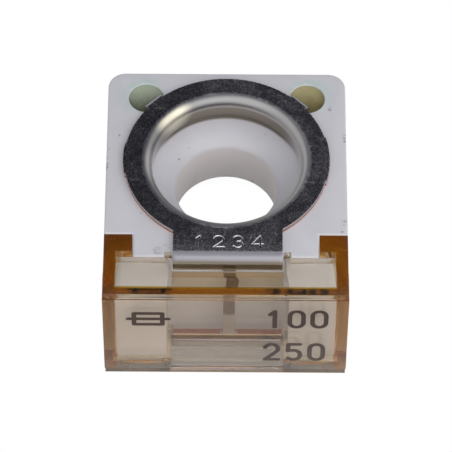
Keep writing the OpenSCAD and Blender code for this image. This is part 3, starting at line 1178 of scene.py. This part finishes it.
@dataclass
class ContactStrip:
    """The folded contact strip, drawn as one skin of sheet and then given its thickness.

    Attributes:
        sizes: The shared sizes.
        sheet: Thickness of the sheet.
        ring_r: Outside radius of the rings.
        collar_r: Inside radius of the collars.
        collar_bend: Outside radius of the collars' bends.
        collar_h: Height of the collars.
        tab_half: Half the width of the tabs.
        tab_reach: Distance from the stud axis to the tabs' outer face.
        tab_bend: Outside radius of the tabs' bends.
        drops: Straight length below each tab's bend.
        ear_half: Half the width of an ear.
        ear_bend: Outside radius of the ears' bends.
        ear_gap: Distance from a pocket's edge to the start of its ear's bend.
        ear_depth: Depth of an ear's leg below the block's face.
        left_stub: Half the width of the carrier stub on the left.
        right_stub: Half the width of the carrier stub on the right.
        stub_proud: Distance that a stub stands out.
        link_half: Half the width of the link.
        link_t: Thickness of the link.
        link_x: Offset of the link.
        link_fillet: Radius where the link meets the tabs.
    """

    sizes: PartSizes
    sheet: float = 0.45
    ring_r: float = 8.2
    collar_r: float = 5.97
    collar_bend: float = 0.8
    collar_h: float = 1.93
    tab_half: float = 4.33
    tab_reach: float = 10.1
    tab_bend: float = 0.8
    drops: dict[Face, float] = field(default_factory=lambda: {Face.UPPER: 0.3, Face.LOWER: 1.9})
    ear_half: float = 0.85
    ear_bend: float = 0.5
    ear_gap: float = 0.03
    ear_depth: float = 1.1
    left_stub: float = 1.55
    right_stub: float = 2.25
    stub_proud: float = 0.1
    link_half: float = 0.46
    link_t: float = 0.3
    link_x: float = 0.28
    link_fillet: float = 0.25

    @property
    def top(self) -> float:
        """Height of the contact face."""
        return self.sizes.half_h + self.sheet

    def ear_at(self) -> float:
        """Distance from the stud axis to the start of an ear's bend."""
        edge = math.sqrt(self.sizes.pocket_r**2 - self.ear_half**2)
        return self.sizes.pocket_reach - edge + self.ear_gap

    def ear_corner(self, along: float, across: float, angle: float) -> Point:
        """A point given along and across an ear's direction."""
        c, s = math.cos(angle), math.sin(angle)
        return (along * c - across * s, along * s + across * c)

    def rim(self) -> tuple[list[Point], list[tuple[str, int, int]]]:
        """The outer outline of one contact's flat part, anticlockwise from its right stub.

        Returns:
            The points, and the stretches that fold down as their kind, first point and last point.
        """
        r = self.ring_r
        stub = r + self.stub_proud
        right_stub = math.degrees(math.asin(self.right_stub / r))
        left_stub = math.degrees(math.asin(self.left_stub / r))
        ear_spread = math.degrees(math.asin(self.ear_half / r))
        left, right = self.sizes.tab_x - self.tab_half, self.sizes.tab_x + self.tab_half
        bend_y = -(self.tab_reach - self.tab_bend)
        folds: list[tuple[str, int, int]] = []
        points: list[Point] = arc((0, 0), stub, -right_stub, right_stub, 14)
        last = right_stub + 0.2
        for kind, heading in (("right_ear", 45.0), ("left_ear", 135.0)):
            points += arc((0, 0), r, last, heading - ear_spread, 20)
            angle = math.radians(heading)
            start = self.ear_corner(self.ear_at(), -self.ear_half, angle)
            end = self.ear_corner(self.ear_at(), self.ear_half, angle)
            first = len(points)
            points += straight(start, end, 8)
            folds.append((kind, first, len(points) - 1))
            last = heading + ear_spread
        points += arc((0, 0), r, last, 179.8 - left_stub, 20)
        points += arc((0, 0), stub, 180 - left_stub, 180 + left_stub, 10)
        tab_left = math.degrees(math.atan2(-math.sqrt(r * r - left * left), left)) % 360
        points += arc((0, 0), r, 180.2 + left_stub, tab_left, 28)
        points += straight(points[-1], (left, bend_y), 6)[1:-1]
        first = len(points)
        points += straight((left, bend_y), (right, bend_y), 36)
        folds.append(("tab", first, len(points) - 1))
        tab_right = math.degrees(math.atan2(-math.sqrt(r * r - right * right), right)) % 360
        corner = arc((0, 0), r, tab_right, 359.8 - right_stub, 28)
        points += straight((right, bend_y), corner[0], 6)[1:-1]
        points += corner
        return points, folds

    def contact(self, bm: bmesh.types.BMesh, face: Face) -> None:
        """Adds the outer skin of one contact: flat part, collar, tab and ears."""
        points, folds = self.rim()
        sign = face.value
        bend_at = self.collar_r + self.collar_bend
        rows = 7
        columns: list[list[bmesh.types.BMVert]] = []
        for x, y in points:
            angle = math.atan2(y, x)
            reach = math.hypot(x, y)
            column = []
            for k in range(rows + 1):
                r = bend_at + (reach - bend_at) * k / rows
                column.append(bm.verts.new((r * math.cos(angle), r * math.sin(angle), sign * self.top)))
            column.reverse()
            for a in range(1, 9):
                turn = math.radians(90 * a / 8)
                r = bend_at - self.collar_bend * math.sin(turn)
                z = self.top - self.collar_bend * (1 - math.cos(turn))
                column.append(bm.verts.new((r * math.cos(angle), r * math.sin(angle), sign * z)))
            foot = self.top - self.collar_h
            start = self.top - self.collar_bend
            for k in range(1, 4):
                z = start + (foot - start) * k / 3
                column.append(
                    bm.verts.new((self.collar_r * math.cos(angle), self.collar_r * math.sin(angle), sign * z))
                )
            columns.append(column)
        count = len(columns)
        for i in range(count):
            here, there = columns[i], columns[(i + 1) % count]
            for k in range(len(here) - 1):
                self.quad(bm, (here[k], there[k], there[k + 1], here[k + 1]), sign)
        for kind, first, last in folds:
            edge = [columns[i][0] for i in range(first, last + 1)]
            if kind == "tab":
                self.fold(bm, edge, (0.0, -1.0), self.tab_bend, self.drops[face], sign)
            else:
                heading = math.radians(45.0 if kind == "right_ear" else 135.0)
                drop = self.ear_depth + self.sheet - self.ear_bend
                self.fold(bm, edge, (math.cos(heading), math.sin(heading)), self.ear_bend, drop, sign)

    def fold(
        self,
        bm: bmesh.types.BMesh,
        edge: list[bmesh.types.BMVert],
        out: Point,
        radius: float,
        drop: float,
        sign: int,
    ) -> None:
        """Adds a bend and a straight leg to an edge of the flat part.

        Args:
            bm: The mesh to add to.
            edge: The vertices of the edge, anticlockwise round the contact.
            out: Direction in which the sheet runs over the edge.
            radius: Outside radius of the bend.
            drop: Straight length of the leg.
            sign: 1 to fold down, -1 to fold up.
        """
        steps = 9
        profile = [
            (radius * math.sin(math.radians(90 * k / steps)), radius * (1 - math.cos(math.radians(90 * k / steps))))
            for k in range(1, steps + 1)
        ]
        legs = max(1, round(drop / 0.4))
        profile += [(radius, radius + drop * k / legs) for k in range(1, legs + 1)]
        row = edge
        for along, down in profile:
            fresh = []
            for vert in edge:
                x, y, z = vert.co
                fresh.append(bm.verts.new((x + out[0] * along, y + out[1] * along, z - sign * down)))
            for i in range(len(row) - 1):
                self.quad(bm, (fresh[i], fresh[i + 1], row[i + 1], row[i]), sign)
            row = fresh

    @staticmethod
    def quad(bm: bmesh.types.BMesh, verts: Sequence[bmesh.types.BMVert], sign: int) -> None:
        """Adds a face whose outer side faces away from the block."""
        bm.faces.new(verts if sign > 0 else tuple(reversed(verts)))

    def link_outline(self) -> list[Point]:
        """Front view of the link, widened by fillets at both ends."""
        up = self.top - self.tab_bend - self.drops[Face.UPPER] + 0.04
        down = -(self.top - self.tab_bend - self.drops[Face.LOWER]) - 0.04
        f = self.link_fillet
        right = arc((self.link_half + f, down + 0.04 + f), f, 270, 180, 5)
        right += arc((self.link_half + f, up - 0.04 - f), f, 180, 90, 5)
        right = [(self.link_half + f, down)] + right + [(self.link_half + f, up)]
        both = right + [(-x, z) for x, z in reversed(right)]
        return [(self.link_x + x, z) for x, z in both]

    def build(self) -> bpy.types.Object:
        """Builds the strip and returns its piece."""
        shape = Shape("strip")
        bm = bmesh.new()
        for face in Face:
            self.contact(bm, face)
        bm.to_mesh(shape.mesh)
        bm.free()
        for finish in (PLATED, SHEARED, LINK_METAL):
            shape.mesh.materials.append(finish.material())
        solid = shape.object.modifiers.new("sheet", "SOLIDIFY")
        solid.thickness = self.sheet
        solid.offset = -1.0
        solid.use_even_offset = True
        solid.material_offset_rim = 1
        shape.apply()
        shape.bevel(0.07, 3, 55.0)
        stamp = Marking(height=1.19, squeeze=1.2, pitch=1.53, stroke=0.18)
        shape.cut(stamp.grooves(stamp.strokes("1234", (-2.56, -8.72)), self.top, 0.06), tangled=True)
        link = Shape.prism(self.link_outline(), -self.tab_reach, -self.tab_reach + self.link_t, "Y")
        link.bevel(0.03, 2, 55.0)
        self.join(shape, link, 2)
        return shape.finish("contact_strip", [PLATED, SHEARED, LINK_METAL], "plated_copper", ["fuse_strip"])

    @staticmethod
    def join(shape: Shape, other: Shape, material: int) -> None:
        """Adds another shape's mesh to this one under a material number, and uses it up."""
        bm = bmesh.new()
        bm.from_mesh(shape.mesh)
        before = len(bm.faces)
        bm.from_mesh(other.object.data)
        bm.faces.ensure_lookup_table()
        for face in bm.faces[before:]:
            face.material_index = material
        bm.to_mesh(shape.mesh)
        bm.free()
        other.discard()


@dataclass
class WindowCover:
    """The clear clip-on cover.

    Attributes:
        sizes: The shared sizes.
        proud: Distance that the front panel stands proud of the front wall.
        side_proud: Distance that its wrapped ends stand proud of the side walls.
        band: Height of the plain band above and below the panel.
        wrap: Length of the panel along each side.
        fillet: Radius between the hooks and the side walls.
    """

    sizes: PartSizes
    proud: float = 0.1
    side_proud: float = 0.05
    band: float = 0.7
    wrap: float = 2.6
    fillet: float = 0.3

    def build(self) -> bpy.types.Object:
        """Builds the cover and returns its piece."""
        s = self.sizes
        front = s.cover - self.proud
        big = s.half_h + 1
        shape = Shape.block((-s.half_w, -front, -s.half_h), (s.half_w, -s.cover_back, s.half_h))
        top = s.half_h - self.band
        out = s.half_w + self.side_proud
        shape.add(Shape.block((-out, -s.cover, -top), (out, -s.cover + self.wrap, top)))
        inner = -(s.cover - s.front_wall)
        shape.cut(Shape.block((-s.wall_in, inner, -s.plate_in), (s.wall_in, -s.hook_front, s.plate_in)))
        shape.cut(Shape.block((-s.wall_in, -s.plate_back, -big), (s.wall_in, -s.hook_front, big)))
        shape.cut(Shape.block((-s.hook_tip, -s.hook_front - 0.1, -big), (s.hook_tip, 0.0, big)))
        left, right = s.tab_x - s.notch_half, s.tab_x + s.notch_half
        for face in Face:
            z0, z1 = sorted((face.value * (s.plate_in - 0.2), face.value * big))
            shape.cut(Shape.block((left, -s.notch_front, z0), (right, -s.hook_front, z1)))
            for side in Side:
                shape.add(self.lug(face, side))
        for side in Side:
            shape.add(self.hook_fillet(side))
        shape.bevel(0.05, 2, 40.0)
        return shape.finish("window_moulding", [AMBER], "amber_plastic", ["window_cover"], 30.0)

    def lug(self, face: Face, side: Side) -> Shape:
        """One guide lug behind a plate."""
        s = self.sizes
        near, far = s.notch_half, s.notch_half + s.lug_w
        x0, x1 = sorted((s.tab_x + side.value * near, s.tab_x + side.value * far))
        z0, z1 = sorted((face.value * s.plate_in, face.value * s.half_h))
        return Shape.block((x0, -s.plate_back - 0.3, z0), (x1, -s.plate_back + s.lug_len, z1))

    def hook_fillet(self, side: Side) -> Shape:
        """The fillet between one hook and its side wall."""
        s = self.sizes
        f = self.fillet
        corner = (s.wall_in, -s.hook_front)
        curve = arc((corner[0] - f, corner[1] - f), f, 0, 90, 6)
        outline = curve + [(corner[0] - f, corner[1] + 0.2), (corner[0] + 0.2, corner[1] + 0.2)]
        outline += [(corner[0] + 0.2, corner[1] - f)]
        return Shape.prism([(side.value * x, y) for x, y in outline], -s.half_h, s.half_h)


GLYPHS: dict[str, list[list[Point]]] = {
    "0": [rounded((0.05, 0.05), (0.6, 0.95), 0.26) + [(0.34, 0.05)]],
    "1": [[(0.16, 0.76), (0.36, 0.95), (0.36, 0.05)]],
    "2": [arc((0.325, 0.68), 0.27, 165, -30, 10) + [(0.06, 0.05), (0.62, 0.05)]],
    "3": [arc((0.31, 0.71), 0.24, 150, -90, 10), arc((0.31, 0.26), 0.26, 90, -150, 10)],
    "4": [[(0.48, 0.05), (0.48, 0.95), (0.04, 0.3), (0.64, 0.3)]],
    "5": [[(0.58, 0.95), (0.1, 0.95), (0.08, 0.56)] + arc((0.31, 0.32), 0.28, 110, -140, 12)],
}


@dataclass
class Marking:
    """Plain numbers and a circuit sign, drawn as strokes.

    Attributes:
        height: Height of a numeral.
        squeeze: Width of a numeral as a share of its height.
        pitch: Distance from one numeral to the next.
        stroke: Width of the stroke.
    """

    height: float
    squeeze: float
    pitch: float
    stroke: float

    def strokes(self, text: str, start: Point) -> list[list[Point]]:
        """The strokes of a number.

        Args:
            text: The numerals.
            start: Where the foot of the first one stands.

        Returns:
            Each stroke as its points.
        """
        drawn = []
        for i, numeral in enumerate(text):
            for stroke in GLYPHS[numeral]:
                drawn.append(
                    [
                        (start[0] + i * self.pitch + x * self.height * self.squeeze, start[1] + y * self.height)
                        for x, y in stroke
                    ]
                )
        return drawn

    def ribbon(self, stroke: Sequence[Point], half: float) -> list[list[Point]]:
        """The outlines that cover one stroke: a bar along each step and a round at each point."""
        parts = []
        for (x0, y0), (x1, y1) in zip(stroke, stroke[1:]):
            length = math.hypot(x1 - x0, y1 - y0)
            if length > 1e-6:
                nx, ny = -(y1 - y0) / length * half, (x1 - x0) / length * half
                parts.append([(x0 + nx, y0 + ny), (x0 - nx, y0 - ny), (x1 - nx, y1 - ny), (x1 + nx, y1 + ny)])
        parts += [arc(point, half, 7, 337, 11) for point in stroke]
        return parts

    def grooves(self, strokes: Sequence[Sequence[Point]], top: float, depth: float) -> Shape:
        """The cutter of stamped strokes with sloping walls.

        Args:
            strokes: The strokes in plan.
            top: Height of the stamped face.
            depth: Depth of the grooves.

        Returns:
            The cutter, whose parts run through each other.
        """

        def draw(bm: bmesh.types.BMesh) -> None:
            """Adds a tapered block for each part of each stroke."""
            for stroke in strokes:
                pairs = zip(self.ribbon(stroke, self.stroke * 0.85), self.ribbon(stroke, self.stroke * 0.15))
                for wide, narrow in pairs:
                    upper = [bm.verts.new((x, y, top + depth)) for x, y in wide]
                    lower = [bm.verts.new((x, y, top - depth)) for x, y in narrow]
                    bm.faces.new(upper)
                    bm.faces.new(list(reversed(lower)))
                    for i in range(len(upper)):
                        j = (i + 1) % len(upper)
                        bm.faces.new((upper[j], upper[i], lower[i], lower[j]))

        return Shape.of("grooves", draw)


@dataclass
class FrontMarking:
    """The burnt marking on the cover's front panel.

    Attributes:
        sizes: The shared sizes.
        depth: Depth of the mark in the plastic.
        proud: Height of the burnt crust.
    """

    sizes: PartSizes
    depth: float = 0.01
    proud: float = 0.004

    def build(self) -> bpy.types.Object:
        """Builds the marking and returns its piece."""
        numbers = Marking(height=2.4, squeeze=0.81, pitch=1.79, stroke=0.38)
        strokes = numbers.strokes("100", (3.2, 1.05)) + numbers.strokes("250", (3.05, -3.55))
        strokes += self.fuse_sign((-6.1, 2.2), 3.2, 1.5)

        def draw(bm: bmesh.types.BMesh) -> None:
            """Adds each stroke as thin overlapping plates at slightly different depths."""
            count = 0
            for stroke in strokes:
                for outline in numbers.ribbon(stroke, numbers.stroke / 2):
                    count += 1
                    lift = self.proud * (0.5 + 0.5 * (count % 7) / 7)
                    front = [bm.verts.new((x, -self.sizes.cover + self.proud - lift, z)) for x, z in outline]
                    back = [bm.verts.new((x, -self.sizes.cover + self.depth, z)) for x, z in outline]
                    bm.faces.new(front)
                    bm.faces.new(list(reversed(back)))
                    for i in range(len(outline)):
                        j = (i + 1) % len(outline)
                        bm.faces.new((front[j], front[i], back[i], back[j]))

        shape = Shape("marking")
        bm = bmesh.new()
        draw(bm)
        bmesh.ops.recalc_face_normals(bm, faces=bm.faces)
        bm.to_mesh(shape.mesh)
        bm.free()
        return shape.finish("front_marking", [INK], "amber_plastic")

    @staticmethod
    def fuse_sign(centre: Point, width: float, height: float) -> list[list[Point]]:
        """The circuit sign of a fuse: a box with a line through it."""
        x, z = centre
        w, h = width / 2, height / 2
        box = [(x - w * 0.7, z - h), (x + w * 0.7, z - h), (x + w * 0.7, z + h), (x - w * 0.7, z + h)]
        return [box + [box[0]], [(x - w, z), (x + w, z)]]


@dataclass
class CementPlug:
    """The cement round one ear.

    Attributes:
        sizes: The shared sizes.
        strip: The contact strip, whose ear the cement holds; not used.
        face: The block's face.
        side: The side of the middle plane.
        dish: Depth of the dish in its top.
    """

    sizes: PartSizes
    strip: ContactStrip
    face: Face
    side: Side
    dish: float = 0.5

    def build(self) -> bpy.types.Object:
        """Builds the plug and returns its piece."""
        s = self.sizes
        reach = s.pocket_reach / math.sqrt(2)
        r = s.pocket_r - 0.01
        foot = s.half_h - s.pocket_depth
        rise = [(0.0, 0.0), (0.3, 0.03), (0.55, 0.13), (0.75, 0.33), (0.9, 0.62), (0.97, 0.85), (1.0, 0.97)]
        top = [(r * u, s.half_h - self.dish + (self.dish - 0.06) * v) for u, v in rise]
        section = [(0.0, foot), (r, foot)] + list(reversed(top))
        section = [(u, self.face.value * z) for u, z in section]
        shape = Shape.turned(section, 40, (self.side.value * reach, reach))
        name = f"{self.face.name.lower()}_{self.side.name.lower()}"
        finish = LEFT_CEMENT if self.side is Side.LEFT else RIGHT_CEMENT
        return shape.finish(f"{name}_filling", [finish], "cement", [f"{name}_cement"], 60.0)


@dataclass
class Studio:
    """Camera, lamps, world and floor.

    Attributes:
        camera_at: Where the camera stands, in millimetres.
        look_at: The point that it looks at, in millimetres.
        lens: Focal length on a 36 mm sensor.
        roll: Turn about the line of sight, in degrees.
        floor_z: Height of the floor, in millimetres.
    """

    camera_at: tuple[float, float, float] = (0.0, -170.9, 233.4)
    look_at: tuple[float, float, float] = (0.0, -2.32, 0.0)
    lens: float = 282.5
    roll: float = 0.35
    floor_z: float = -5.96

    def build(self) -> None:
        """Sets up the whole studio."""
        self.camera()
        self.world()
        self.floor()
        self.lamp("key_lamp", (120.0, -230.0, 240.0), 260.0, 0.12, (1.0, 0.99, 0.97))
        settings = bpy.context.scene.view_settings
        settings.view_transform = "Standard"
        cycles = bpy.context.scene.cycles
        cycles.max_bounces = 24
        cycles.glossy_bounces = 16
        cycles.transmission_bounces = 24
        cycles.transparent_max_bounces = 24

    def camera(self) -> None:
        """Places the camera."""
        data = bpy.data.cameras.new("camera")
        data.sensor_width = 36.0
        data.lens = self.lens
        data.clip_start = 0.01
        data.clip_end = 10.0
        made = bpy.data.objects.new("camera", data)
        bpy.context.scene.collection.objects.link(made)
        start, end = Vector(self.camera_at) * MM, Vector(self.look_at) * MM
        aim = (end - start).to_track_quat("-Z", "Y").to_matrix().to_4x4()
        made.matrix_world = Matrix.Translation(start) @ aim @ Matrix.Rotation(math.radians(self.roll), 4, "Z")
        bpy.context.scene.camera = made

    def lamp(
        self, name: str, at: Sequence[float], size: float, level: float, colour: Sequence[float]
    ) -> None:
        """Adds a square soft lamp that faces the part.

        Args:
            name: The lamp's name.
            at: Its middle, in millimetres.
            size: Length of its sides, in millimetres.
            level: Light that a facing surface gets, where 1 shows white as white.
            colour: Its colour.
        """
        data = bpy.data.lights.new(name, "AREA")
        data.shape = "SQUARE"
        data.size = size * MM
        distance = Vector(at).length * MM
        data.energy = level * math.pi**2 * distance * distance
        data.color = colour
        made = bpy.data.objects.new(name, data)
        bpy.context.scene.collection.objects.link(made)
        aim = (-Vector(at)).to_track_quat("-Z", "Y").to_matrix().to_4x4()
        made.matrix_world = Matrix.Translation(Vector(at) * MM) @ aim

    @staticmethod
    def patch(graph: Graph, toward: Sequence[float], inner: float, outer: float) -> Value:
        """A round patch of the sky.

        Args:
            graph: The world's graph.
            toward: Direction of its middle.
            inner: Angle from the middle, in degrees, up to which it is full.
            outer: Angle at which it has faded out.

        Returns:
            A mask of the patch.
        """
        sky = graph.node("ShaderNodeTexCoord", output="Generated")
        middle = tuple(Vector(toward).normalized())
        along = graph.node(
            "ShaderNodeVectorMath", {"operation": "DOT_PRODUCT"}, {0: sky, 1: middle}, "Value"
        )
        return along.ramp(math.cos(math.radians(outer)), math.cos(math.radians(inner)))

    def world(self) -> None:
        """Fills the world with a soft light tent that is dark behind the part."""
        world = bpy.data.worlds.new("studio")
        bpy.context.scene.world = world
        world.use_nodes = True
        world.node_tree.nodes.clear()
        graph = Graph(world.node_tree)
        front = self.patch(graph, (0.2, -0.75, 0.65), 20.0, 70.0)
        right = self.patch(graph, (0.9, 0.1, 0.45), 15.0, 60.0)
        back = self.patch(graph, (0.0, 0.59, 0.81), 14.0, 44.0)
        level = 0.60 + front * 0.65 + right * 0.35
        level = level * (1.0 - back * 0.92)
        path = graph.tree.nodes.new("ShaderNodeLightPath")
        seen = Value(graph, path.outputs["Is Camera Ray"])
        level = level * (1.0 - seen) + seen
        sky = graph.node("ShaderNodeBackground", None, {"Color": (1.0, 1.0, 1.0, 1.0), "Strength": level})
        out = graph.tree.nodes.new("ShaderNodeOutputWorld")
        graph.tree.links.new(sky.socket, out.inputs["Surface"])

    def floor(self) -> None:
        """Lays a pale floor seen as white that still takes the part's shadow, with a painted reflection patch."""
        mesh = bpy.data.meshes.new("floor")
        bm = bmesh.new()
        bmesh.ops.create_grid(bm, x_segments=1, y_segments=1, size=2.0)
        bm.to_mesh(mesh)
        bm.free()
        made = bpy.data.objects.new("floor", mesh)
        made.location.z = self.floor_z * MM
        bpy.context.scene.collection.objects.link(made)
        material = bpy.data.materials.new("pale_floor")
        material.use_nodes = True
        material.node_tree.nodes.clear()
        graph = Graph(material.node_tree)
        matt = graph.node("ShaderNodeBsdfDiffuse", None, {"Color": (0.8, 0.8, 0.8, 1.0)})
        white = graph.node("ShaderNodeEmission", None, {"Color": (1.0, 1.0, 1.0, 1.0), "Strength": 1.0})
        path = graph.tree.nodes.new("ShaderNodeLightPath")
        seen = Value(graph, path.outputs["Is Camera Ray"])
        # Painted reflection: under the bore the floor glows white for reflected rays too.
        bore_reflection_patch = graph.spot((0.0, 0.0, self.floor_z), 9.0, 1.0)
        seen = seen.at_least(Value(graph, path.outputs["Is Glossy Ray"]) * bore_reflection_patch)
        mixed = graph.node("ShaderNodeMixShader", None, {0: seen, 1: matt, 2: white})
        Finish.surface(graph, mixed)
        mesh.materials.append(material)


def main() -> None:
    """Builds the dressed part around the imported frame."""
    logging.basicConfig(level=logging.INFO, format="%(name)s %(message)s")
    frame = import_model()
    LOG.info("frame has %d nodes", len(frame["nodes"]))
    sizes = PartSizes()
    Studio().build()
    CeramicBody(sizes).build()
    strip = ContactStrip(sizes)
    strip.build()
    WindowCover(sizes).build()
    FrontMarking(sizes).build()
    for face in Face:
        for side in Side:
            CementPlug(sizes, strip, face, side).build()
    bpy.context.view_layer.update()


if __name__ == "__main__":
    main()
